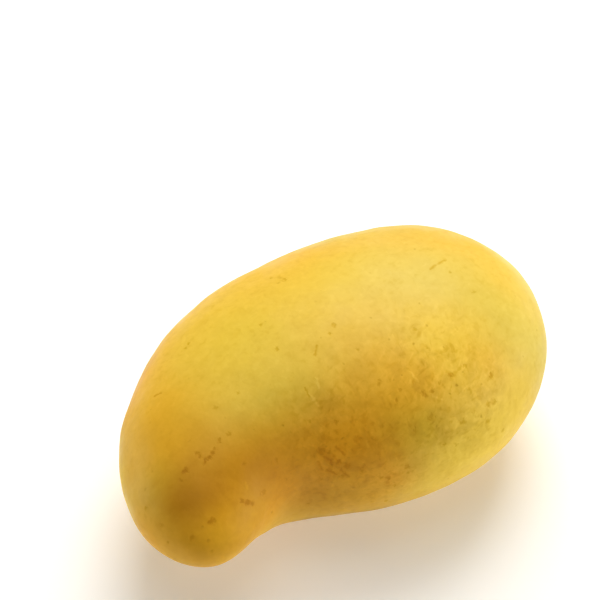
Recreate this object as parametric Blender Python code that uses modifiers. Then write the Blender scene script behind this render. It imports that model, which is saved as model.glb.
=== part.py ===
"""Mango: one whole ripe fruit lying on its flatter cheek, with the short stub of its stem.

Metres, +Z up. +X runs along the fruit to its stem end and -X to its hooked tip, +Y is
towards the rounded back and -Y towards the belly. The origin is under the middle of the
fruit, on the surface that it lies on.
"""

from math import pi

import bmesh
import bpy
import numpy as np
from mathutils import Vector

MM = 0.001

# The flesh hangs on a curved midline: four Bezier points in plan, from stem end to tip, in mm.
MIDLINE = ((61, -11), (28, 4), (-44, 23), (-55, -23))

# Half the width in plan and half the thickness, in mm, by share of the way from stem to tip.
HALF_WIDTH = ((0, 41), (0.25, 40), (0.5, 37), (0.75, 34), (1, 31))
HALF_THICKNESS = ((0, 34), (0.25, 32), (0.5, 30), (0.75, 26), (1, 22))

# Two changes of form that run through the whole thickness, as pressed or drawn in plan.
# "at" is their middle in plan and "reach" how far they fade over, all in mm.
NOTCH_ABOVE_TIP = {"at": (-28, -21), "push": (0.1, 1), "reach": 16, "deep": 4.5}
FULL_BELLY = {"at": (20, -40), "push": (0.15, -1), "reach": 40, "deep": 6}
THROUGH_FORM = (NOTCH_ABOVE_TIP, FULL_BELLY)

# Hollows in the skin. "at" is a direction out of the unit ball that the fruit is shaped
# from, +X its stem pole. "reach" is in degrees round it, "deep" in mm.
SLACK_CHEEK = {"at": (-0.35, 0.2, 0.92), "push": (0, 0, -1), "reach": 24, "deep": 0.8}
SLACK_BACK = {"at": (0.1, 0.95, 0.3), "push": (0, -1, 0), "reach": 20, "deep": 0.7}
STEM_HOLLOW = {"at": (0.93, 0.36, 0), "push": (-1, -0.15, 0), "reach": 11, "deep": 2.2}
HOLLOWS = (SLACK_CHEEK, SLACK_BACK, STEM_HOLLOW)

# The cheek it lies on is flattened by this much, in mm, under the fruit's weight.
FLAT_SPOT_DEPTH = 1.0

# Each side of the cube that the ball is made from is cut this many times.
BALL_CUTS = 24

# The stem's stub: its outline from the middle of the broken top to the middle of its
# underside, as (radius, height above the skin at the bottom of the hollow), in mm.
STUB_PROFILE = (
    (0, 4.1),
    (2.3, 4.4),
    (3.1, 4.0),
    (3.2, 3.0),
    (3.6, 2.0),
    (4.1, 1.5),
    (3.9, 0.9),
    (0, 0.8),
)
STUB_SIDES = 24

SKIN_COLOUR = (0.74, 0.46, 0.05, 1)
SKIN_ROUGHNESS = 0.45
STEM_COLOUR = (0.055, 0.032, 0.018, 1)
STEM_ROUGHNESS = 0.85


def unit(vector):
    vector = np.array(vector, float)
    return vector / np.linalg.norm(vector)


def between(stations, share):
    """Smooth values through (share, value) stations."""
    places = np.array([place for place, value in stations], float)
    values = np.array([value for place, value in stations], float)
    slopes = np.gradient(values, places)
    i = np.clip(np.searchsorted(places, share, side="right") - 1, 0, len(places) - 2)
    step = places[i + 1] - places[i]
    t = (share - places[i]) / step
    start = (2 * t**3 - 3 * t**2 + 1) * values[i] + (t**3 - 2 * t**2 + t) * step * slopes[i]
    end = (3 * t**2 - 2 * t**3) * values[i + 1] + (t**3 - t**2) * step * slopes[i + 1]
    return start + end


def along_midline(share):
    """Points of the midline in plan, and the way across it towards the rounded back."""
    a, b, c, d = np.array(MIDLINE, float)
    t = share[:, None]
    place = (1 - t) ** 3 * a + 3 * (1 - t) ** 2 * t * b + 3 * (1 - t) * t**2 * c + t**3 * d
    run = (1 - t) ** 2 * (b - a) + 2 * (1 - t) * t * (c - b) + t**2 * (d - c)
    run /= np.linalg.norm(run, axis=1, keepdims=True)
    return place, np.column_stack((run[:, 1], -run[:, 0]))


def fruit_form(directions):
    """Carries directions out of the unit ball to places on the fruit, in mm."""
    share = (1 - directions[:, 0]) / 2
    place, across = along_midline(share)
    width = between(HALF_WIDTH, share) * directions[:, 1]
    height = between(HALF_THICKNESS, share) * directions[:, 2]
    points = np.column_stack((place + across * width[:, None], height))
    for change in THROUGH_FORM:
        away = np.linalg.norm(points[:, :2] - change["at"], axis=1)
        depth = change["deep"] * np.exp(-((away / change["reach"]) ** 2))
        points[:, :2] += depth[:, None] * unit(change["push"])
    for hollow in HOLLOWS:
        away = np.degrees(np.arccos(np.clip(directions @ unit(hollow["at"]), -1, 1)))
        depth = hollow["deep"] * np.exp(-((away / hollow["reach"]) ** 2))
        points += depth[:, None] * unit(hollow["push"])
    return points


def ball_of_squares():
    """A cube cut into a grid and drawn out to a ball, in even steps of angle."""
    ball = bmesh.new()
    bmesh.ops.create_cube(ball, size=2)
    bmesh.ops.subdivide_edges(ball, edges=ball.edges, cuts=BALL_CUTS, use_grid_fill=True)
    for vertex in ball.verts:
        vertex.co = Vector([np.tan(c * pi / 4) for c in vertex.co]).normalized()
    return ball


def material(name, colour, roughness):
    made = bpy.data.materials.new(name)
    made.use_nodes = True
    shader = made.node_tree.nodes["Principled BSDF"]
    shader.inputs["Base Color"].default_value = colour
    shader.inputs["Roughness"].default_value = roughness
    shader.inputs["Metallic"].default_value = 0
    return made


def add_object(name, mesh, collection, finish):
    made = bpy.data.objects.new(name, mesh)
    mesh.materials.append(finish)
    collection.objects.link(made)
    return made


def make_fruit(collection):
    """The whole fruit, flattened where it lies. Returns it, and how far it was lifted to lie at zero."""
    ball = ball_of_squares()
    directions = np.array([vertex.co for vertex in ball.verts])
    points = fruit_form(directions)
    lift = -points[:, 2].min() - FLAT_SPOT_DEPTH
    points[:, 2] = np.maximum(points[:, 2] + lift, 0)
    for vertex, point in zip(ball.verts, points):
        vertex.co = Vector(point) * MM
    mesh = bpy.data.meshes.new("fruit")
    ball.to_mesh(mesh)
    ball.free()
    mesh.shade_smooth()
    fruit = add_object("fruit", mesh, collection, material("mango skin", SKIN_COLOUR, SKIN_ROUGHNESS))
    return fruit, lift


def stem_seat():
    """The bottom of the stem's hollow, and the way out of the skin there."""
    at = unit(STEM_HOLLOW["at"])
    side = unit(np.cross(at, (0, 0, 1)))
    up = np.cross(side, at)
    step = 0.01
    near = np.array([at, at + side * step, at - side * step, at + up * step, at - up * step])
    near /= np.linalg.norm(near, axis=1, keepdims=True)
    seat, one_side, other_side, above, below = fruit_form(near)
    outward = unit(np.cross(above - below, one_side - other_side))
    if outward @ seat < 0:
        outward = -outward
    return seat, outward


def make_stub(collection, lift):
    """The turned stub of the stem, standing a hair's breadth off the skin in its hollow."""
    mesh = bpy.data.meshes.new("stem_stub")
    points = [(radius * MM, 0, height * MM) for radius, height in STUB_PROFILE]
    edges = [(i, i + 1) for i in range(len(points) - 1)]
    mesh.from_pydata(points, edges, [])
    stub = add_object("stem_stub", mesh, collection, material("stem bark", STEM_COLOUR, STEM_ROUGHNESS))
    turn = stub.modifiers.new("turned", "SCREW")
    turn.steps = STUB_SIDES
    turn.render_steps = STUB_SIDES
    turn.use_merge_vertices = True
    turn.merge_threshold = 0.00001
    turn.use_smooth_shade = True
    seat, outward = stem_seat()
    stub.location = Vector(seat + (0, 0, lift)) * MM
    stub.rotation_euler = Vector(outward).to_track_quat("Z", "Y").to_euler()
    return stub


def middle_of(pieces):
    """The middle of the box round the finished pieces."""
    bpy.context.view_layer.update()
    depsgraph = bpy.context.evaluated_depsgraph_get()
    points = []
    for piece in pieces:
        finished = piece.evaluated_get(depsgraph)
        points += [finished.matrix_world @ vertex.co for vertex in finished.to_mesh().vertices]
        finished.to_mesh_clear()
    points = np.array(points)
    return (points.min(axis=0) + points.max(axis=0)) / 2


def main():
    for old in list(bpy.data.objects):
        bpy.data.objects.remove(old)
    collection = bpy.data.collections.new("mango")
    bpy.context.scene.collection.children.link(collection)
    fruit, lift = make_fruit(collection)
    stub = make_stub(collection, lift)
    middle = middle_of((fruit, stub))

    # Both hang on one empty, moved so that their middle is over the origin.
    origin = bpy.data.objects.new("mango_origin", None)
    collection.objects.link(origin)
    for piece in (fruit, stub):
        piece.parent = origin
    origin.location = (-middle[0], -middle[1], 0)


main()
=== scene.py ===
# %% [markdown]
# # A ripe mango
#
# One whole golden mango lies on its flatter cheek. It is long and a little bent, with a
# rounded back, a soft notch in the belly above its hooked tip, and the woody stub of its
# stem in a small hollow at the broad end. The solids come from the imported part, and this
# lesson gives them their looks: a waxy skin with its blush, freckles and scratches, and a
# broken, fibrous stem.
#
# First the solids are loaded. Everything is in metres, in the part's own frame: +X is
# towards the stem, -Y towards the belly and +Z is up.

# %% Load the solids
from math import cos, pi, radians, sin

import bpy
import numpy as np
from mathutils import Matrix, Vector
from mathutils.bvhtree import BVHTree


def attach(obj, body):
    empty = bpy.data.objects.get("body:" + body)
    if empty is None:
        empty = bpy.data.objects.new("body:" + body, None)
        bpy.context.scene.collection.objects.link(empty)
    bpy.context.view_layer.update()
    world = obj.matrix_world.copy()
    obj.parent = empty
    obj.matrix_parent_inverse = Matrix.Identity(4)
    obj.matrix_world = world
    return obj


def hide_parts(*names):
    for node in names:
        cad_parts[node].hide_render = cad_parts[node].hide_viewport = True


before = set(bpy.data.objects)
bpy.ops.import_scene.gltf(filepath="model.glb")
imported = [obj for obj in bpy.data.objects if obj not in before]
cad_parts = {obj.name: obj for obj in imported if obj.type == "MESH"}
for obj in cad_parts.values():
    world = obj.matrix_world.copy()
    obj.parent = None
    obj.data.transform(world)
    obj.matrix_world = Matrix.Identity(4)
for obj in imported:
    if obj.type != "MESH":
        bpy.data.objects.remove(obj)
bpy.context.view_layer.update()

MM = 0.001


def in_mm(place):
    """A place in millimetres, rounded for printing."""
    return [round(c / MM, 1) for c in place]


# %% [markdown]
# The camera comes first, because the marks on the skin are placed by looking through it.
# A fruit this size is usually photographed from near by with a long lens, which keeps its
# form true. The camera looks down on the belly side at almost 50 degrees. Its direction is
# kept as two angles and its place as a point to aim at and a distance, so that each number
# means one thing.

# %% The camera
CAMERA_TURN = radians(-40)
CAMERA_HEIGHT = radians(48)
CAMERA_DISTANCE = 0.6835
CAMERA_AIM = Vector((0.0171, 0.0328, 0.025))
LENS = 150
SENSOR = 36
PICTURE = 600

to_camera = Vector((
    sin(CAMERA_TURN) * cos(CAMERA_HEIGHT),
    -cos(CAMERA_TURN) * cos(CAMERA_HEIGHT),
    sin(CAMERA_HEIGHT),
))
camera_data = bpy.data.cameras.new("camera")
camera_data.lens = LENS
camera_data.sensor_width = SENSOR
camera = bpy.data.objects.new("camera", camera_data)
bpy.context.scene.collection.objects.link(camera)
camera.location = CAMERA_AIM + to_camera * CAMERA_DISTANCE
camera.rotation_euler = to_camera.to_track_quat("Z", "Y").to_euler()
bpy.context.scene.camera = camera
print("camera stands at", in_mm(camera.location), "mm")

# %% [markdown]
# The light is a studio tent. A wide soft lamp hangs above and behind the fruit to the right,
# with a weaker one straight above it. Two lower ones light its right side, and one behind it
# on the left gives that edge a thin bright rim. Only a faint one stands on the camera's side,
# so the fruit's front is its darkest part, which is what shows that the form is round. The
# floor is a sheet of pale paper that glows a little, like a light table, and throws light
# back up under the belly.

# %% Floor and lamps
FLOOR_SIZE = 6.0
FLOOR_GLOW = 0.23
WORLD_GLOW = 0.03
LAMP_AIM = Vector((0, 0, 0.03))


def soft_lamp(name, place, size, power, colour):
    """A square lamp at a place, turned to face the middle of the fruit."""
    data = bpy.data.lights.new(name, "AREA")
    data.size = size
    data.energy = power
    data.color = colour
    lamp = bpy.data.objects.new(name, data)
    bpy.context.scene.collection.objects.link(lamp)
    lamp.location = place
    lamp.rotation_euler = (Vector(place) - LAMP_AIM).to_track_quat("Z", "Y").to_euler()


soft_lamp("key_lamp", (0.45, 0.37, 0.8), 0.7, 9.3, (1, 0.985, 0.95))
soft_lamp("top_lamp", (0, 0, 1.0), 0.7, 2.3, (1, 0.985, 0.95))
soft_lamp("right_lamp", (0.9, -0.35, 0.25), 0.6, 0.8, (1, 0.99, 0.95))
soft_lamp("low_right_lamp", (0.78, -0.72, 0.12), 0.5, 6.0, (1, 0.99, 0.95))
soft_lamp("front_lamp", (0.3, -1.0, 0.25), 0.6, 0.9, (1, 0.98, 0.93))
soft_lamp("left_lamp", (-0.75, 0.7, 0.2), 0.5, 3.5, (1, 0.96, 0.9))

world = bpy.data.worlds.new("studio")
world.use_nodes = True
sky = world.node_tree.nodes["Background"]
sky.inputs["Color"].default_value = (1, 1, 1, 1)
sky.inputs["Strength"].default_value = WORLD_GLOW
bpy.context.scene.world = world
bpy.context.scene.view_settings.view_transform = "Standard"

bpy.ops.mesh.primitive_plane_add(size=FLOOR_SIZE, location=(0, 0, 0))
floor = bpy.context.object
floor.name = "floor"
paper = bpy.data.materials.new("white_paper")
paper.use_nodes = True
paper_shader = paper.node_tree.nodes["Principled BSDF"]
paper_shader.inputs["Base Color"].default_value = (0.9, 0.9, 0.9, 1)
paper_shader.inputs["Roughness"].default_value = 0.9
paper_shader.inputs["Emission Color"].default_value = (1, 0.97, 0.9, 1)
paper_shader.inputs["Emission Strength"].default_value = FLOOR_GLOW
floor.data.materials.append(paper)

# %% [markdown]
# The skin starts as a copy of the solid's mesh. The solid is made of loose triangles a few
# millimetres across, so the copy's corners are merged and its triangles joined into
# squares. Two rounds of Subdivision Surface then round it off. It stays on the solid's
# form, because the solid is already the real shape.

# %% From solid to a fine skin
MERGE_WITHIN = 0.01 * MM
SUBDIVISIONS = 2


def select_only(made):
    """Makes one object the only selected and the active one."""
    bpy.ops.object.select_all(action="DESELECT")
    made.select_set(True)
    bpy.context.view_layer.objects.active = made


def copy_of_solid(node, name):
    """A copy of a solid's mesh as a new object, with its corners merged and its squares back."""
    made = bpy.data.objects.new(name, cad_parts[node].data.copy())
    bpy.context.scene.collection.objects.link(made)
    made.data.materials.clear()
    select_only(made)
    bpy.ops.object.mode_set(mode="EDIT")
    bpy.ops.mesh.select_all(action="SELECT")
    bpy.ops.mesh.remove_doubles(threshold=MERGE_WITHIN)
    bpy.ops.mesh.tris_convert_to_quads(face_threshold=pi / 4, shape_threshold=pi / 4)
    bpy.ops.object.mode_set(mode="OBJECT")
    return made


def apply_modifier(made, kind, **settings):
    """Adds a modifier with its settings and applies it."""
    modifier = made.modifiers.new(kind.lower(), kind)
    for name, value in settings.items():
        setattr(modifier, name, value)
    select_only(made)
    bpy.ops.object.modifier_apply(modifier=modifier.name)


skin = copy_of_solid("fruit", "skin")
squares = sum(len(face.vertices) == 4 for face in skin.data.polygons)
print("merged skin:", len(skin.data.polygons), "faces,", squares, "of them squares")
apply_modifier(skin, "SUBSURF", levels=SUBDIVISIONS, render_levels=SUBDIVISIONS)
print("fine skin:", len(skin.data.polygons), "faces")

# %% [markdown]
# A real mango is never an even egg. Its skin has slack swells a few centimetres across and
# shallow dimples of a few millimetres. Both are made by Displace modifiers, each with a
# cloud texture of the right grain. The clouds seldom rise above three quarters, and that
# level stays where it is, so nearly all of the skin is pressed inwards and the fruit doesn't
# grow past its solid. A vertex group leaves out the flat spot that it lies on.

# %% Swells and dimples
SWELLS = {"grain": 24 * MM, "depth": 0.7 * MM}
DIMPLES = {"grain": 6 * MM, "depth": 0.16 * MM}
HIGHEST_CLOUD = 0.75

# The group fades in over this height above the table, and is empty in the lowest tenth.
TABLE_MARGIN = 2 * MM
EMPTY_SHARE = 0.1

clear_of_table = skin.vertex_groups.new(name="clear_of_table")
for vertex in skin.data.vertices:
    share = min(max(vertex.co.z / TABLE_MARGIN - EMPTY_SHARE, 0), 1)
    clear_of_table.add([vertex.index], share, "REPLACE")


def press_in(made, name, grain, depth, group):
    """Presses a cloud pattern into a piece."""
    pattern = bpy.data.textures.new(name, "CLOUDS")
    pattern.noise_scale = grain
    pattern.noise_depth = 2
    apply_modifier(
        made, "DISPLACE", texture=pattern, texture_coords="LOCAL",
        mid_level=HIGHEST_CLOUD, strength=depth, vertex_group=group,
    )


press_in(skin, "swells", SWELLS["grain"], SWELLS["depth"], "clear_of_table")
press_in(skin, "dimples", DIMPLES["grain"], DIMPLES["depth"], "clear_of_table")
deepest = HIGHEST_CLOUD * (SWELLS["depth"] + DIMPLES["depth"])
print("pressed in by", round(deepest / MM, 2), "mm at most")

# %% [markdown]
# Seen against the light, the outline of the fruit is a little fuller in some places and
# slacker in others than the smooth solid, by a millimetre or so. These are modelled as by
# hand, with proportional editing: the point of the skin nearest to a place is picked, and
# moved out or in together with what lies round it.

# %% Fuller and slacker places
# Each: its place, how far it moves out, how far round it the move fades, all in mm.
FULLER_AND_SLACKER = (
    ((-22, 34, 42), 1.2, 26),
    ((-4, 34, 46), 0.6, 16),
    ((46, 18, 46), 0.7, 20),
    ((-27, -16, 13), 1.0, 20),
    ((-36, -18, 20), 0.8, 12),
    ((-62, 9, 28), -0.6, 20),
)


def tree_of(made):
    """A tree of a piece's faces, for looking up places on it."""
    mesh = made.data
    return BVHTree.FromPolygons([v.co for v in mesh.vertices], [f.vertices for f in mesh.polygons])


def select_vertices(made, indices):
    """Selects some of a piece's vertices, and leaves it in edit mode."""
    select_only(made)
    bpy.ops.object.mode_set(mode="EDIT")
    bpy.ops.mesh.select_mode(type="VERT")
    bpy.ops.mesh.select_all(action="DESELECT")
    bpy.ops.object.mode_set(mode="OBJECT")
    for index in indices:
        made.data.vertices[index].select = True
    bpy.ops.object.mode_set(mode="EDIT")


def pull(made, places, move, reach):
    """Moves the vertices nearest to some places, and their surroundings with a smooth fade."""
    points = np.array([vertex.co for vertex in made.data.vertices])
    nearest = [int(np.argmin(((points - place) ** 2).sum(axis=1))) for place in places]
    select_vertices(made, nearest)
    bpy.ops.transform.translate(
        value=move, use_proportional_edit=True,
        proportional_edit_falloff="SMOOTH", proportional_size=reach,
    )
    bpy.ops.object.mode_set(mode="OBJECT")


for place, outward, reach in FULLER_AND_SLACKER:
    point, way_out, *_ = tree_of(skin).find_nearest(Vector(place) * MM)
    pull(skin, [point], way_out * outward * MM, reach * MM)
print("fuller or slacker places:", len(FULLER_AND_SLACKER))

# %% [markdown]
# The skin is drawn in round the stem in small folds, like cloth round a button. Points of
# the skin in a ring round the stem are picked by place, and moved in with the same tool. The
# scar that the flower left, a small pit on the inner side of the hooked tip, is pressed in
# too. The bottom of the stem's hollow is found by looking from the stub's middle along its
# axis.

# %% Folds round the stem and the flower's scar
STEM_OUTWARD = Vector((0.991, 0.134, 0)).normalized()
FOLDS = 9
FOLD_RING = 6.6 * MM
RIDGE_RING = 0.9 * FOLD_RING
UNEVENNESS = 0.12
FLOWER_SCAR_NEAR = Vector((-0.048, -0.037, 0.010))

# How far each goes in or out, and how far round it the move fades, in mm.
FOLD_DEPTH, FOLD_REACH = 0.45, 2.4
RIDGE_HEIGHT, RIDGE_REACH = 0.22, 1.8
SCAR_DEPTH, SCAR_REACH = 0.5, 2.2

stub_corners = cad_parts["stem_stub"].data.vertices
stub_middle = sum((corner.co for corner in stub_corners), Vector()) / len(stub_corners)
skin_tree = tree_of(skin)
stem_seat = skin_tree.ray_cast(stub_middle, -STEM_OUTWARD)[0]

stem_side = STEM_OUTWARD.cross((0, 0, 1)).normalized()
stem_up = stem_side.cross(STEM_OUTWARD)


def round_stem(radius, angle):
    """A place round the stem, at a distance from its axis."""
    return stem_seat + (stem_side * cos(angle) + stem_up * sin(angle)) * radius


fold_places = []
ridge_places = []
for i in range(FOLDS):
    uneven_ring = FOLD_RING * (1 + UNEVENNESS * sin(5 * i))
    fold_places.append(round_stem(uneven_ring, i * 2 * pi / FOLDS))
    ridge_places.append(round_stem(RIDGE_RING, (i + 0.5) * 2 * pi / FOLDS))
pull(skin, fold_places, -STEM_OUTWARD * FOLD_DEPTH * MM, FOLD_REACH * MM)
pull(skin, ridge_places, STEM_OUTWARD * RIDGE_HEIGHT * MM, RIDGE_REACH * MM)

flower_scar, scar_way_out, *_ = skin_tree.find_nearest(FLOWER_SCAR_NEAR)
pull(skin, [flower_scar], -scar_way_out * SCAR_DEPTH * MM, SCAR_REACH * MM)
skin_tree = tree_of(skin)
print("stem seat at", in_mm(stem_seat), "scar at", in_mm(flower_scar), "mm")

# %% [markdown]
# Finishes are made of shader nodes. Two small classes keep that readable. A Wire is the
# output of a node, and sums and products of Wires add the Math nodes for them. A Finish is a
# material, with one method that adds any kind of node.

# %% Helpers for finishes
# The Mix node has sockets for numbers, vectors and colours. These are the ones for colours.
MIX_MASK, MIX_BELOW, MIX_ABOVE, MIX_RESULT = 0, 6, 7, 2


def is_vector(value):
    """Whether a value or a wire is a vector and not a number."""
    if isinstance(value, Wire):
        return value.socket.type == "VECTOR"
    return not isinstance(value, (int, float))


class Wire:
    """The output of a node, so that shader maths is written as Python."""

    def __init__(self, finish, socket):
        self.finish = finish
        self.socket = socket

    def __add__(self, other):
        return self.finish.maths("ADD", self, other)

    def __sub__(self, other):
        return self.finish.maths("SUBTRACT", self, other)

    def __rsub__(self, other):
        return self.finish.maths("SUBTRACT", other, self)

    def __mul__(self, other):
        return self.finish.maths("MULTIPLY", self, other)

    __radd__ = __add__
    __rmul__ = __mul__


class Finish:
    """A material, and short ways to add nodes to it."""

    def __init__(self, name):
        self.material = bpy.data.materials.new(name)
        self.material.use_nodes = True
        self.tree = self.material.node_tree
        self.shader = self.tree.nodes["Principled BSDF"]
        self.place = self.node("TexCoord", output="Object")

    def set(self, sockets, node=None):
        """Sets or links sockets of the shader, or of another node."""
        for name, value in sockets.items():
            socket = (node or self.shader).inputs[name]
            if isinstance(value, Wire):
                self.tree.links.new(value.socket, socket)
            else:
                socket.default_value = value

    def node(self, kind, settings=None, sockets=None, output=0):
        """Adds a node of any kind, and gives one of its outputs."""
        made = self.tree.nodes.new("ShaderNode" + kind)
        for name, value in (settings or {}).items():
            setattr(made, name, value)
        self.set(sockets or {}, made)
        return Wire(self, made.outputs[output])

    def maths(self, operation, first, second):
        """A sum, product and so on of numbers, or of vectors where a side is one."""
        if is_vector(first) and operation == "MULTIPLY" and not is_vector(second):
            return self.node("VectorMath", {"operation": "SCALE"}, {0: first, "Scale": second})
        kind = "VectorMath" if is_vector(first) or is_vector(second) else "Math"
        return self.node(kind, {"operation": operation}, {0: first, 1: second})

    def fade(self, value, start, end, low=0.0, high=1.0):
        """Goes smoothly from low to high while a value goes from start to end."""
        sockets = {
            "Value": value, "From Min": start, "From Max": end, "To Min": low, "To Max": high,
        }
        return self.node("MapRange", {"interpolation_type": "SMOOTHSTEP"}, sockets)

    def clouds(self, grain, detail=2.0, place=None, output=0):
        """Cloudy noise with a grain in metres, around one half. Output 1 has three at once."""
        sockets = {"Vector": place or self.place, "Scale": 1 / grain, "Detail": detail}
        return self.node("TexNoise", {}, sockets, output)

    def shaken(self, grain, shift):
        """The place on the object, shifted at random, so that patterns get uneven edges."""
        three = self.clouds(grain, 1.0, output=1)
        three = self.maths("SUBTRACT", three, (0.5, 0.5, 0.5))
        return self.place + three * (2 * shift)

    def away_from(self, point, place):
        """The distance from a point."""
        return self.node("VectorMath", {"operation": "DISTANCE"}, {0: place, 1: point}, "Value")

    def dot(self, first, second):
        """The dot product of two vectors."""
        return self.node("VectorMath", {"operation": "DOT_PRODUCT"}, {0: first, 1: second}, "Value")

    def paint(self, below, colour, mask, way="MIX"):
        """Lays a colour over another where the mask is above zero."""
        sockets = {MIX_MASK: mask, MIX_BELOW: below, MIX_ABOVE: colour}
        return self.node("Mix", {"data_type": "RGBA", "blend_type": way}, sockets, MIX_RESULT)

    def tint(self, below, share, mask):
        """Multiplies a colour where the mask is above zero, so that what is below still shows."""
        return self.paint(below, (*share, 1), mask, "MULTIPLY")


# %% [markdown]
# The marks on a fruit are its history, so each one that can be seen is put where it is. The
# marks are noted as places in the picture, in pixels, and a ray from the camera through each
# place finds the point of the skin behind it. Where a ray goes past the outline, the skin
# that it passes closest to is taken.

# %% From the picture to the skin
# The lens's focal length in pixels of the picture.
FOCAL_PIXELS = LENS / SENSOR * PICTURE

# A ray that goes past the skin is searched at these distances round the fruit, in mm.
SEARCH_STEPS = range(-60, 61, 2)


def on_skin(across, down):
    """The point of the skin that a place in the picture shows."""
    ray = Vector((across - PICTURE / 2, PICTURE / 2 - down, -FOCAL_PIXELS))
    ray = (camera.rotation_euler.to_matrix() @ ray).normalized()
    point = skin_tree.ray_cast(camera.location, ray)[0]
    if point is None:
        found = []
        for step in SEARCH_STEPS:
            place = camera.location + ray * (CAMERA_DISTANCE + step * MM)
            nearest, _, _, distance = skin_tree.find_nearest(place)
            found.append((distance, nearest))
        point = min(found, key=lambda pair: pair[0])[1]
    return point


SKIN_PIXEL = CAMERA_DISTANCE / FOCAL_PIXELS
print("a pixel of the picture is", round(SKIN_PIXEL / MM, 3), "mm on the skin")

# %% [markdown]
# The ground of the skin is golden yellow. Where the sun reached it the yellow turns orange,
# and where it ripened last it is paler and greener. Some patches are painted light and shade,
# in full or in part: pale yellow for the lit left edge of the tip, the lit lower edge of the
# broad end and the top's sheen, orange for light thrown up under the tip, brown and olive that
# are partly the skin's own and partly painted shade along the darker band that faces the
# camera, in the notch and on the tip, and a painted shadow along the belly's lower edge. Each
# such patch is a soft round fade about one point, and the places are shaken by broad noise
# first, so that no patch is a clean circle. Small patches are shaken less, or they would end
# up somewhere else. On the side that the picture doesn't show, broad clouds of the same
# colours do this work.

# %% The ground colours of the skin, with painted light and shade
GOLD = (0.82, 0.50, 0.052, 1)
FRESH_YELLOW = (0.82, 0.575, 0.054, 1)
# Pale yellow, partly the skin's own and partly a painted sheen.
PALE_YELLOW_AND_SHEEN = (0.76, 0.58, 0.11, 1)
STRAW = (0.68, 0.53, 0.085, 1)
# Painted light: the yellow of skin where the lamps shine on it.
PAINTED_LIGHT_YELLOW = (0.91, 0.63, 0.065, 1)
ORANGE = (0.89, 0.44, 0.020, 1)
HONEY = (0.74, 0.38, 0.012, 1)
AMBER = (0.90, 0.395, 0.012, 1)
# Olive and umber: partly the skin's own colour and partly painted shade.
OLIVE_AND_SHADE = (0.62, 0.40, 0.011, 1)
UMBER_AND_SHADE = (0.48, 0.20, 0.006, 1)
# A painted shadow along the belly's lower edge.
UNDER_BELLY_SHADOW = (0.42, 0.24, 0.014, 1)

# A patch up to this many mm is shaken less. Each fades out at this many times its reach.
SMALL_PATCH = 14
PATCH_EDGE = 1.2

# Each patch: its colour, its middle in the picture, how far it reaches in mm, its strength.
PATCHES = (
    (GOLD, (235, 290), 42, 0.85),
    (FRESH_YELLOW, (250, 345), 30, 0.9),
    (FRESH_YELLOW, (338, 282), 20, 0.8),
    (STRAW, (322, 228), 13, 0.8),
    (STRAW, (372, 218), 12, 0.5),
    # Painted light.
    (PAINTED_LIGHT_YELLOW, (316, 402), 14, 0.35),
    (ORANGE, (135, 390), 17, 0.75),
    (HONEY, (165, 435), 18, 0.8),
    # A painted rim light along the lit left edge of the tip.
    (PAINTED_LIGHT_YELLOW, (119, 450), 7, 0.8),
    (PAINTED_LIGHT_YELLOW, (121, 480), 7, 0.8),
    (PAINTED_LIGHT_YELLOW, (128, 506), 6, 0.6),
    # Pale yellow, partly the skin's own and partly a painted sheen where the top's broad highlight
    # lies.
    (PALE_YELLOW_AND_SHEEN, (420, 275), 26, 0.8),
    (STRAW, (490, 290), 22, 0.6),
    (STRAW, (545, 350), 22, 0.9),
    (STRAW, (512, 330), 16, 0.6),
    (STRAW, (535, 268), 15, 0.9),
    (FRESH_YELLOW, (520, 400), 16, 0.6),
    # Painted light on the broad end and along its lower edge, where the lamps and the floor light
    # it.
    (PAINTED_LIGHT_YELLOW, (475, 455), 23, 1.0),
    (PAINTED_LIGHT_YELLOW, (510, 420), 13, 0.5),
    (PAINTED_LIGHT_YELLOW, (440, 345), 16, 0.5),
    (ORANGE, (405, 385), 13, 0.4),
    (AMBER, (340, 455), 21, 0.9),
    (HONEY, (345, 497), 14, 0.6),
    (AMBER, (270, 480), 19, 0.9),
    (AMBER, (215, 500), 20, 0.8),
    # Brown, partly the skin's own and partly painted shade, along the darker band that faces the
    # camera and in the notch.
    (UMBER_AND_SHADE, (210, 458), 10, 0.2),
    (UMBER_AND_SHADE, (262, 468), 14, 0.5),
    (UMBER_AND_SHADE, (250, 490), 12, 0.6),
    (UMBER_AND_SHADE, (300, 500), 12, 0.4),
    (UMBER_AND_SHADE, (246, 526), 10, 0.4),
    (HONEY, (395, 405), 16, 0.45),
    # Brown and olive, partly painted shade, on the darker band under the broad end.
    (UMBER_AND_SHADE, (395, 438), 14, 0.18),
    (OLIVE_AND_SHADE, (418, 432), 11, 0.4),
    (OLIVE_AND_SHADE, (430, 425), 6, 0.4),
    # Olive and brown, partly the skin's own and partly painted shade, in the dark patch on the tip.
    (OLIVE_AND_SHADE, (160, 490), 9, 0.5),
    (UMBER_AND_SHADE, (187, 498), 13, 0.75),
    (UMBER_AND_SHADE, (183, 508), 6, 0.6),
    (UMBER_AND_SHADE, (212, 494), 6, 0.3),
    (UMBER_AND_SHADE, (192, 527), 5, 0.3),
    # Orange, partly the skin's own and partly painted light thrown up from the floor under the tip.
    (ORANGE, (206, 550), 11, 0.9),
    (ORANGE, (150, 540), 10, 0.7),
    (HONEY, (252, 512), 11, 0.6),
    (HONEY, (232, 540), 9, 0.6),
    (STRAW, (430, 228), 11, 0.5),
    # A painted shadow along the belly's lower edge, where it turns under.
    (UNDER_BELLY_SHADOW, (300, 522), 6, 0.4),
    (UNDER_BELLY_SHADOW, (320, 520), 7, 0.5),
    (UNDER_BELLY_SHADOW, (342, 517), 7, 0.5),
    (UNDER_BELLY_SHADOW, (364, 513), 7, 0.5),
    (UNDER_BELLY_SHADOW, (388, 508), 6, 0.35),
)

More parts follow.
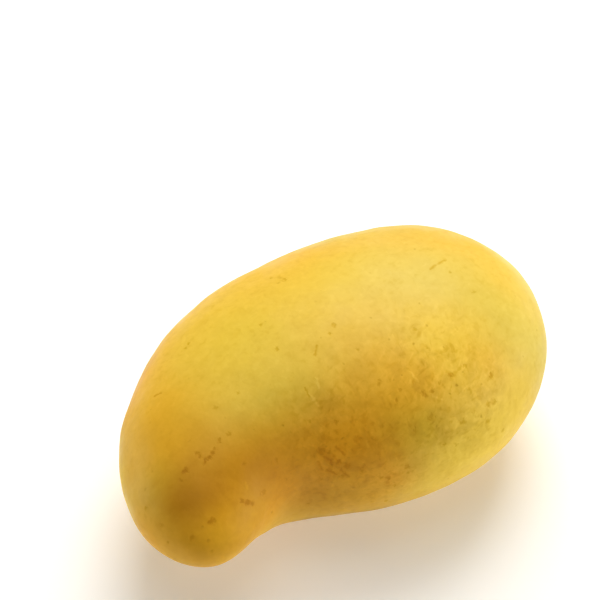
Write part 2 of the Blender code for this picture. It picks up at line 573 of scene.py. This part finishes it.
mango = Finish("waxy_skin")
drifting = mango.shaken(14 * MM, 4 * MM)
wavering = mango.shaken(5 * MM, 1.2 * MM)
ripening = mango.clouds(34 * MM, 1.0)
skin_colour = mango.paint(GOLD, FRESH_YELLOW, mango.fade(ripening, 0.5, 0.72, 0, 0.5))
skin_colour = mango.paint(skin_colour, ORANGE, mango.fade(ripening, 0.46, 0.28, 0, 0.55))
for colour, (across, down), reach, strength in PATCHES:
    away = mango.away_from(on_skin(across, down), drifting if reach > SMALL_PATCH else wavering)
    mask = mango.fade(away, PATCH_EDGE * reach * MM, 0, 0, strength)
    skin_colour = mango.paint(skin_colour, colour, mask)
print("patches on the skin:", len(PATCHES))

# %% [markdown]
# Over the ground lies a fine mottle. The skin is full of pale and dark flecks a millimetre
# or two across, where the colour has not set evenly, and of short strokes, the traces of
# rubbing leaves and twigs. Both come from clouds with a small grain, of which only the tops
# or the bottoms are kept. For the strokes a Mapping node turns the clouds and draws them out
# to three or four times their width. All of them multiply the ground, so that they stay a
# little darker or lighter than what they lie on. They crowd together on the belly side of
# the broad end, as in the picture, and in a few places on the side that it doesn't show.
# Under them lie broader blots, where the skin is a little bruised.

# %% The mottle
DARKER = (0.82, 0.71, 0.12)
LIGHTER = (1.10, 1.15, 1.5)
BLOT = (0.84, 0.79, 0.62)
FLECK_GRAIN = 1.8 * MM

# Where it is crowded: in pixels of the picture, and in metres on the side away from it.
CROWDED = ((440, 395), (350, 455))
CROWDED_BEHIND = ((0.018, 0.038, 0.034), (-0.036, 0.036, 0.02), (0.03, -0.02, 0))
CROWD_REACH = 28 * MM
CROWD_FULL = 6 * MM

# Strokes: the angle to the fruit's length, their width in mm, and their length in widths.
DARK_STROKES = ((10, 1.5, 3.2), (70, 1.3, 3.6))
LIGHT_STROKES = ((85, 1.3, 4.0), (35, 1.2, 4.0))

crowding = 0.0
for point in [on_skin(*place) for place in CROWDED] + list(CROWDED_BEHIND):
    near = mango.fade(mango.away_from(point, drifting), CROWD_REACH, CROWD_FULL)
    crowding = mango.maths("MAXIMUM", crowding, near)


def crowded(least, more):
    """A strength that is its least in most places, and grows where it is crowded."""
    return crowding * more + least


blots = mango.fade(mango.clouds(3.8 * MM, 3.0, drifting), 0.45, 0.62)
skin_colour = mango.tint(skin_colour, BLOT, blots * crowded(0.15, 0.4))
broad_clouds = mango.clouds(9 * MM, 2.0)
broad_blots = mango.fade(broad_clouds, 0.5, 0.66) * crowding
skin_colour = mango.tint(skin_colour, BLOT, broad_blots * 0.4)
fleck_place = mango.shaken(3 * MM, 0.8 * MM)
fleck_clouds = mango.clouds(FLECK_GRAIN, 1.5, fleck_place)


def strokes(kinds):
    """Clouds drawn out to strokes that run at two angles from the fruit's length."""
    drawn = []
    for turn, width, long in kinds:
        sockets = {"Vector": fleck_place, "Rotation": (0, 0, radians(turn)), "Scale": (long, 1, 1)}
        place = mango.node("Mapping", {"vector_type": "TEXTURE"}, sockets)
        drawn.append(mango.clouds(width * MM, 1.0, place))
    return mango.maths("MAXIMUM", *drawn)


dark_strokes = mango.fade(strokes(DARK_STROKES), 0.57, 0.74)
light_strokes = mango.fade(strokes(LIGHT_STROKES), 0.58, 0.74)
dark_flecks = mango.fade(fleck_clouds, 0.52, 0.7)
light_flecks = mango.fade(fleck_clouds, 0.47, 0.3)
dark_areas = mango.fade(broad_clouds, 0.35, 0.65, 0.06, 0.25)
light_areas = mango.fade(broad_clouds, 0.7, 0.4, 0.1, 0.3)
for share, mask in (
    (DARKER, dark_flecks * (dark_areas + crowding * 0.2)),
    (LIGHTER, light_flecks * (light_areas + crowding * 0.15)),
    (DARKER, dark_strokes * crowded(0.1, 0.42)),
    (LIGHTER, light_strokes * crowded(0.1, 0.5)),
):
    skin_colour = mango.tint(skin_colour, share, mask)
print("flecks of", FLECK_GRAIN / MM, "mm, crowded in", len(CROWDED + CROWDED_BEHIND), "places")

# %% [markdown]
# The skin breathes through pores, which show as small dark dots a few millimetres apart. A
# Voronoi pattern gives one dot to a cell. Only some cells keep theirs, by the cell's own
# random colour, and more of them do where the mottle is crowded.

# %% Pores
PORE = (0.67, 0.54, 0.08)
PORE_SPACING = 3.4 * MM

# The size of a pore, as a share of their spacing.
PORE_RADIUS = 0.13

# A cell keeps its pore where its chance is under the first, and none has one over the second.
KEPT_UNDER, NONE_OVER = 0.2, 0.24

pore_place = mango.shaken(2.4 * MM, 0.9 * MM)
pore_cells = {"Vector": pore_place, "Scale": 1 / PORE_SPACING, "Randomness": 1.0}
pore_distance = mango.node("TexVoronoi", {}, pore_cells, "Distance")
pore_colours = mango.node("TexVoronoi", {}, pore_cells, "Color")
pore_chance = mango.node("SeparateColor", {}, {0: pore_colours}, 0)
pore_size = mango.node("SeparateColor", {}, {0: pore_colours}, 1)
kept = mango.fade(pore_chance - crowding * 0.4, NONE_OVER, KEPT_UNDER)
dots = mango.fade(pore_distance - pore_size * 0.06, PORE_RADIUS, 0.0) * kept
skin_colour = mango.tint(skin_colour, PORE, dots * crowded(0.45, 0.3))
print("pores about", round(PORE_SPACING / MM, 1), "mm apart")

# %% [markdown]
# Then come the marks that can be told one from another: brown specks and blots, each as
# (across, down, half its width) in pixels of the picture. Many of them share one pattern, so
# a loop keeps the smallest of the distances, each measured in half widths. One fade then
# draws them all. Fine clouds are added to the distance first, which makes the specks ragged
# and some of them fainter.

# %% Specks and blots
SPECKS_ON_BACK = (
    (285, 280, 2.2), (279, 283, 1.4), (271, 278, 1.3), (261, 325, 1.5), (277, 349, 1.8),
    (334, 325, 1.8), (330, 334, 1.3), (189, 343, 1.4), (186, 348, 1.5), (238, 394, 1.5),
    (357, 350, 1.3), (215, 408, 1.5),
)
SPECKS_ON_BROAD_END = (
    (450, 272, 1.3), (474, 292, 1.5), (415, 330, 1.8), (428, 348, 1.7), (465, 366, 1.6),
    (450, 375, 2.0), (491, 376, 2.0), (423, 394, 2.4), (432, 391, 1.8), (439, 383, 1.5),
    (379, 383, 2.0), (396, 400, 1.5), (400, 390, 1.5), (488, 405, 2.6), (494, 402, 1.9),
    (488, 422, 2.0), (503, 430, 1.9), (431, 417, 2.3), (463, 422, 2.4), (415, 429, 1.6),
    (444, 445, 1.8), (456, 445, 1.5), (407, 467, 2.0), (408, 473, 1.3), (381, 478, 1.5),
    (388, 478, 2.0), (394, 485, 1.4), (385, 501, 1.7), (372, 502, 1.4),
)
SPECKS_ABOVE_NOTCH = (
    (310, 422, 1.5), (336, 422, 1.8), (357, 440, 3.0), (321, 451, 3.0), (329, 452, 2.2),
    (338, 462, 2.0), (347, 466, 2.9), (331, 466, 2.0), (343, 476, 1.8), (321, 479, 1.6),
    (362, 471, 2.2), (286, 479, 1.8), (276, 460, 1.6), (263, 492, 2.4), (308, 503, 1.6),
)
SPECKS_ON_TIP = (
    (197, 454, 1.7), (212, 453, 2.0), (209, 458, 2.0), (205, 462, 1.5), (185, 471, 2.6),
    (181, 481, 1.6), (212, 521, 2.4), (146, 508, 1.8), (162, 525, 1.6), (168, 542, 1.5),
    (192, 538, 1.8), (212, 551, 1.3), (229, 434, 2.0), (219, 441, 1.8), (243, 464, 1.6),
    (242, 501, 1.8), (247, 503, 2.2), (252, 504, 1.8), (200, 456, 1.5), (214, 449, 1.6),
)
SPECKS = SPECKS_ON_BACK + SPECKS_ON_BROAD_END + SPECKS_ABOVE_NOTCH + SPECKS_ON_TIP
SPECK = (0.76, 0.64, 0.0)
SPECK_STRENGTH = 0.62
SPECK_SPREAD = 1.5


def nearest_of(distances):
    """The smallest of several distances."""
    nearest, *others = distances
    for other in others:
        nearest = mango.maths("MINIMUM", nearest, other)
    return nearest


frayed = mango.shaken(0.9 * MM, 0.4 * MM)

# Clouds lie round one half, so this goes a little over and under zero.
ragged = mango.clouds(0.8 * MM, 2.0) * 2.4 - 1.2
from_specks = []
for across, down, half_width in SPECKS:
    away = mango.away_from(on_skin(across, down), frayed)
    from_specks.append(away * (1 / (SPECK_SPREAD * half_width * SKIN_PIXEL)))
speck_mask = mango.fade(nearest_of(from_specks) + ragged, 1.25, 0.1)
skin_colour = mango.tint(skin_colour, SPECK, speck_mask * SPECK_STRENGTH)
print("specks:", len(SPECKS))

# %% [markdown]
# Scratches are lines. The distance from a line between two points is worked out with Vector
# Math: how far along the line the place is, held between its ends, and from there how far
# away. Old rubs have healed to a pale cork colour, and fresh ones are brown. Where a twig
# has pressed on the skin there are short, thick dashes, which are made the same way.

# %% Scratches and dashes
# Each scratch runs from (across, down) to (across, down) in the picture, in pixels.
BROWN_SCRATCHES = (
    (438, 264, 445, 260), (430, 269, 436, 265), (155, 396, 161, 393), (305, 388, 309, 396),
    (315, 355, 317, 346), (324, 456, 332, 462), (333, 455, 341, 463), (326, 470, 336, 474),
    (318, 462, 322, 470), (341, 470, 349, 477), (336, 447, 345, 455),
)
PALE_SCRATCHES = (
    (307, 391, 318, 406), (409, 371, 418, 382), (433, 396, 442, 400), (316, 378, 319, 388),
    (331, 452, 337, 458), (327, 462, 333, 470), (366, 441, 368, 447), (338, 475, 332, 486),
    (246, 483, 247, 489),
)
BROWN_DASHES = (
    (204, 463, 213, 452), (241, 501, 254, 504), (183, 473, 187, 469), (488, 407, 492, 400),
    (493, 404, 495, 401), (421, 393, 427, 396), (446, 371, 453, 375), (488, 380, 493, 372),
    (285, 279, 278, 277), (210, 523, 214, 519),
)
BROWN_DASH = (0.78, 0.65, 0.0)
BROWN_SCRATCH = (0.80, 0.66, 0.1)
PALE_SCRATCH = (1.12, 1.22, 1.8)


def line_mask(lines, edge, core, fray):
    """Where some lines lie: full within the core and gone at the edge, frayed, all in mm."""
    from_lines = []
    for x0, y0, x1, y1 in lines:
        start = on_skin(x0, y0)
        run = on_skin(x1, y1) - start
        from_start = frayed - start
        held = {"operation": "MULTIPLY", "use_clamp": True}
        along = mango.node("Math", held, {0: mango.dot(from_start, run), 1: 1 / run.length_squared})
        foot = mango.maths("MULTIPLY", run, along)
        from_lines.append(mango.away_from(foot, from_start))
    return mango.fade(nearest_of(from_lines) + ragged * (fray * MM), edge * MM, core * MM)


brown_mask = line_mask(BROWN_SCRATCHES, edge=0.6, core=0.05, fray=0.15)
pale_mask = line_mask(PALE_SCRATCHES, edge=0.5, core=0.05, fray=0.15)
dash_mask = line_mask(BROWN_DASHES, edge=0.75, core=0.2, fray=0.35)
for share, mask, strength in (
    (BROWN_SCRATCH, brown_mask, 0.75),
    (PALE_SCRATCH, pale_mask, 0.7),
    (BROWN_DASH, dash_mask, 0.4),
):
    skin_colour = mango.tint(skin_colour, share, mask * strength)
print("scratches:", len(BROWN_SCRATCHES), "brown and", len(PALE_SCRATCHES), "pale")
print("dashes:", len(BROWN_DASHES))

# %% [markdown]
# Round the stem the skin is stained. Sap has run there and dried to an orange-brown ring,
# and right round the foot of the stub the skin is darker still. The flower's scar is a dark
# dot with a corky rim. Both are fades by distance again.

# %% Stains at the stem and the scar
SAP_STAIN = (0.42, 0.20, 0.035, 1)
DARK_RING_ROUND_STUB = (0.10, 0.055, 0.02, 1)
SCAR_RIM = (0.50, 0.24, 0.035, 1)
SCAR_MIDDLE = (0.09, 0.045, 0.015, 1)

# How far the stain reaches from the middle of the stem, in mm.
STAIN_REACH = 16

from_stem = mango.away_from(stem_seat, mango.shaken(2.5 * MM, 1.2 * MM))
from_scar = mango.away_from(flower_scar, frayed) + ragged * (0.5 * MM)
sap_patches = mango.fade(mango.clouds(2.5 * MM, 3.0), 0.35, 0.6, 0.3, 0.9)
for colour, mask in (
    (ORANGE, mango.fade(from_stem, STAIN_REACH * MM, 7 * MM, 0, 0.6)),
    (SAP_STAIN, mango.fade(from_stem, 8.5 * MM, 5.5 * MM) * sap_patches),
    # A dark ring right round the foot of the stub.
    (DARK_RING_ROUND_STUB, mango.fade(from_stem, 5.6 * MM, 4.4 * MM, 0, 0.85)),
    (SCAR_RIM, mango.fade(from_scar, 2.6 * MM, 0.8 * MM, 0, 0.7)),
    (SCAR_MIDDLE, mango.fade(from_scar, 1.0 * MM, 0.2 * MM, 0, 0.85)),
):
    skin_colour = mango.paint(skin_colour, colour, mask)
print("stained out to", STAIN_REACH, "mm from the stem")

# %% [markdown]
# The wax makes the skin satin: lamps show as broad soft lights, never as sharp ones. It is
# worn where the skin is rubbed, so the roughness drifts a little, and specks and scratches
# are dull. A Bump node gives the fine orange-peel grain, with the pores and scratches sunk
# into it.

# %% Sheen and grain of the skin
SKIN_GLOSS = 0.15
SKIN_BUMP = 0.4
SKIN_BUMP_DEPTH = 0.25 * MM

grain = mango.clouds(1.1 * MM, 1.5)
pimples = mango.clouds(2.6 * MM, 2.0)
height = grain * 0.35 + pimples * 0.65 - dots * 0.35 - speck_mask * 0.4
height = height - brown_mask * 0.2 + pale_mask * 0.2
dullness = mango.maths("MAXIMUM", speck_mask, mango.maths("MAXIMUM", brown_mask, pale_mask))
roughness = mango.fade(broad_clouds, 0.3, 0.7, 0.40, 0.52) + dullness * 0.2 + dots * 0.1
bump_sockets = {"Height": height, "Strength": SKIN_BUMP, "Distance": SKIN_BUMP_DEPTH}
mango.set({
    "Base Color": skin_colour,
    "Roughness": roughness,
    "Normal": mango.node("Bump", {}, bump_sockets),
    "Specular IOR Level": SKIN_GLOSS,
})
skin.data.materials.append(mango.material)
skin.data.shade_smooth()
print("nodes in the skin's finish:", len(mango.tree.nodes))

# %% [markdown]
# The stem's stub is what is left when the fruit is snapped off its stalk: a woody button
# with a flared, lobed collar, a ridged neck and a broken, cupped top. It is modelled from a
# circle by extruding and scaling ring after ring, as a potter raises a wall. Its foot goes
# down into the skin, because the real stem is grown to the fruit.

# %% Raising the stub
# Each ring: its radius and its height above the skin, both in mm.
STUB_RINGS = (
    (4.35, 0.3), (4.4, 0.9), (4.15, 1.35), (3.5, 1.65), (3.1, 2.1), (3.0, 2.7),
    (3.05, 3.3), (3.1, 3.75), (2.75, 4.05), (2.3, 3.95), (1.7, 3.55), (0.8, 3.35),
)
STUB_FOOT = (3.9, -0.8)
STUB_SIDES = 30

bpy.ops.object.select_all(action="DESELECT")
radius, level = STUB_FOOT
bpy.ops.mesh.primitive_circle_add(
    vertices=STUB_SIDES, radius=radius * MM, fill_type="NGON", location=(0, 0, level * MM),
)
stub = bpy.context.object
stub.name = "stem_button"
bpy.ops.object.transform_apply(location=True)
bpy.ops.object.mode_set(mode="EDIT")
bpy.ops.mesh.select_all(action="SELECT")
for next_radius, next_level in STUB_RINGS:
    rise = (0, 0, (next_level - level) * MM)
    bpy.ops.mesh.extrude_region_move(TRANSFORM_OT_translate={"value": rise})
    widen = next_radius / radius
    bpy.ops.transform.resize(value=(widen, widen, 1), center_override=(0, 0, next_level * MM))
    radius, level = next_radius, next_level
bpy.ops.mesh.poke()
bpy.ops.mesh.select_all(action="SELECT")
bpy.ops.mesh.normals_make_consistent(inside=False)
bpy.ops.object.mode_set(mode="OBJECT")
print("stub cage:", len(stub.data.polygons), "faces")

# %% [markdown]
# The collar's five lobes and the ridges of the neck come from picking vertices by their
# height and their angle round the axis, and scaling them out or in. The broken rim is then
# roughened with a random move, which leaves short splinters standing.

# %% Lobes, ridges and splinters
LOBES = 5
GROOVES = 10

# Parts of the stub: lowest and highest point, and the distance from the axis that they
# start at, all in mm.
COLLAR = (0.2, 1.5, 4.0)
NECK = (1.5, 3.9, 2.9)
RIM_ABOVE = 3.2


def pick(made, wanted):
    """Selects the wanted vertices, leaves the piece in edit mode, and counts them."""
    indices = [vertex.index for vertex in made.data.vertices if wanted(vertex.co)]
    select_vertices(made, indices)
    return len(indices)


def scale_picked(made, wanted, share):
    """Scales the wanted vertices in or out from the axis, and counts them."""
    count = pick(made, wanted)
    bpy.ops.transform.resize(value=(share, share, 1), center_override=(0, 0, 0))
    bpy.ops.object.mode_set(mode="OBJECT")
    return count


def is_on(point, part):
    """Whether a point of the stub is on a part of it."""
    lowest, highest, radius = part
    return lowest * MM < point.z < highest * MM and point.xy.length > radius * MM


def angle_of(point):
    """The angle of a point round the stub's axis."""
    return np.arctan2(point.y, point.x)


lobes = scale_picked(stub, lambda p: is_on(p, COLLAR) and cos(LOBES * angle_of(p)) > 0.2, 1.09)
grooves = scale_picked(stub, lambda p: is_on(p, NECK) and sin(GROOVES * angle_of(p)) > 0.3, 0.92)
rim = pick(stub, lambda p: p.z > RIM_ABOVE * MM)
bpy.ops.transform.vertex_random(offset=0.35 * MM, uniform=0.6, normal=0.0, seed=5)
bpy.ops.object.mode_set(mode="OBJECT")
print("vertices in lobes, grooves and rim:", lobes, grooves, rim)

apply_modifier(stub, "SUBSURF", levels=SUBDIVISIONS, render_levels=SUBDIVISIONS)
bark_grain = bpy.data.textures.new("bark_grain", "CLOUDS")
bark_grain.noise_scale = 0.9 * MM
bark_grain.noise_depth = 3
apply_modifier(
    stub, "DISPLACE", texture=bark_grain, texture_coords="LOCAL",
    mid_level=0.7, strength=0.45 * MM,
)
stub.rotation_euler = STEM_OUTWARD.to_track_quat("Z", "Y").to_euler()
stub.location = stem_seat
select_only(stub)
bpy.ops.object.transform_apply(location=True, rotation=True, scale=True)
stub.data.shade_smooth()
farthest = max(vertex.co.x for vertex in stub.data.vertices)
print("stub:", len(stub.data.polygons), "faces, reaches x =", round(farthest / MM, 2), "mm")

# %% [markdown]
# Dry stem wood is dark brown with grey weathered ridges. Its fibres run along the stem,
# which is nearly along X here, so the clouds are stretched that way. The broken face is
# paler and straw coloured, and black sap has dried in the grooves.

# %% The stub's bark
BARK = (0.085, 0.045, 0.022, 1)
BARK_GREY = (0.21, 0.15, 0.095, 1)
BROKEN_WOOD = (0.36, 0.23, 0.11, 1)
DRIED_SAP = (0.018, 0.011, 0.007, 1)
ALONG_FIBRES = (0.3, 1, 1)

bark = Finish("dry_stem")
fibres = bark.clouds(0.5 * MM, 4.0, bark.place * ALONG_FIBRES)
crust = bark.clouds(1.6 * MM, 3.0)
bark_colour = bark.paint(BARK, BARK_GREY, bark.fade(fibres, 0.48, 0.68, 0, 0.85))
out_along = bark.dot(bark.place - stem_seat, STEM_OUTWARD)
from_axis = bark.away_from(stem_seat, bark.place - bark.maths("MULTIPLY", STEM_OUTWARD, out_along))
broken = bark.fade(from_axis, 2.9 * MM, 2.3 * MM) * bark.fade(out_along, 2.8 * MM, 3.2 * MM)
bark_colour = bark.paint(bark_colour, BROKEN_WOOD, broken * bark.fade(fibres, 0.35, 0.6, 0.4, 1))
bark_colour = bark.paint(bark_colour, DRIED_SAP, bark.fade(crust, 0.5, 0.36, 0, 0.8))
bump_sockets = {"Height": fibres * 0.7 + crust * 0.3, "Strength": 0.8, "Distance": 0.3 * MM}
bark.set({
    "Base Color": bark_colour,
    "Roughness": bark.fade(crust, 0.36, 0.55, 0.45, 0.85),
    "Normal": bark.node("Bump", {}, bump_sockets),
})
stub.data.materials.append(bark.material)
print("nodes in the bark's finish:", len(bark.tree.nodes))

# %% [markdown]
# Last, each piece is tied to the part: it rides on the one body and takes the place of its
# solid, which is hidden.

# %% Tie the pieces to the part
for piece, node, slot in ((skin, "fruit", "skin"), (stub, "stem_stub", "stem")):
    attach(piece, "root")
    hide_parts(node)
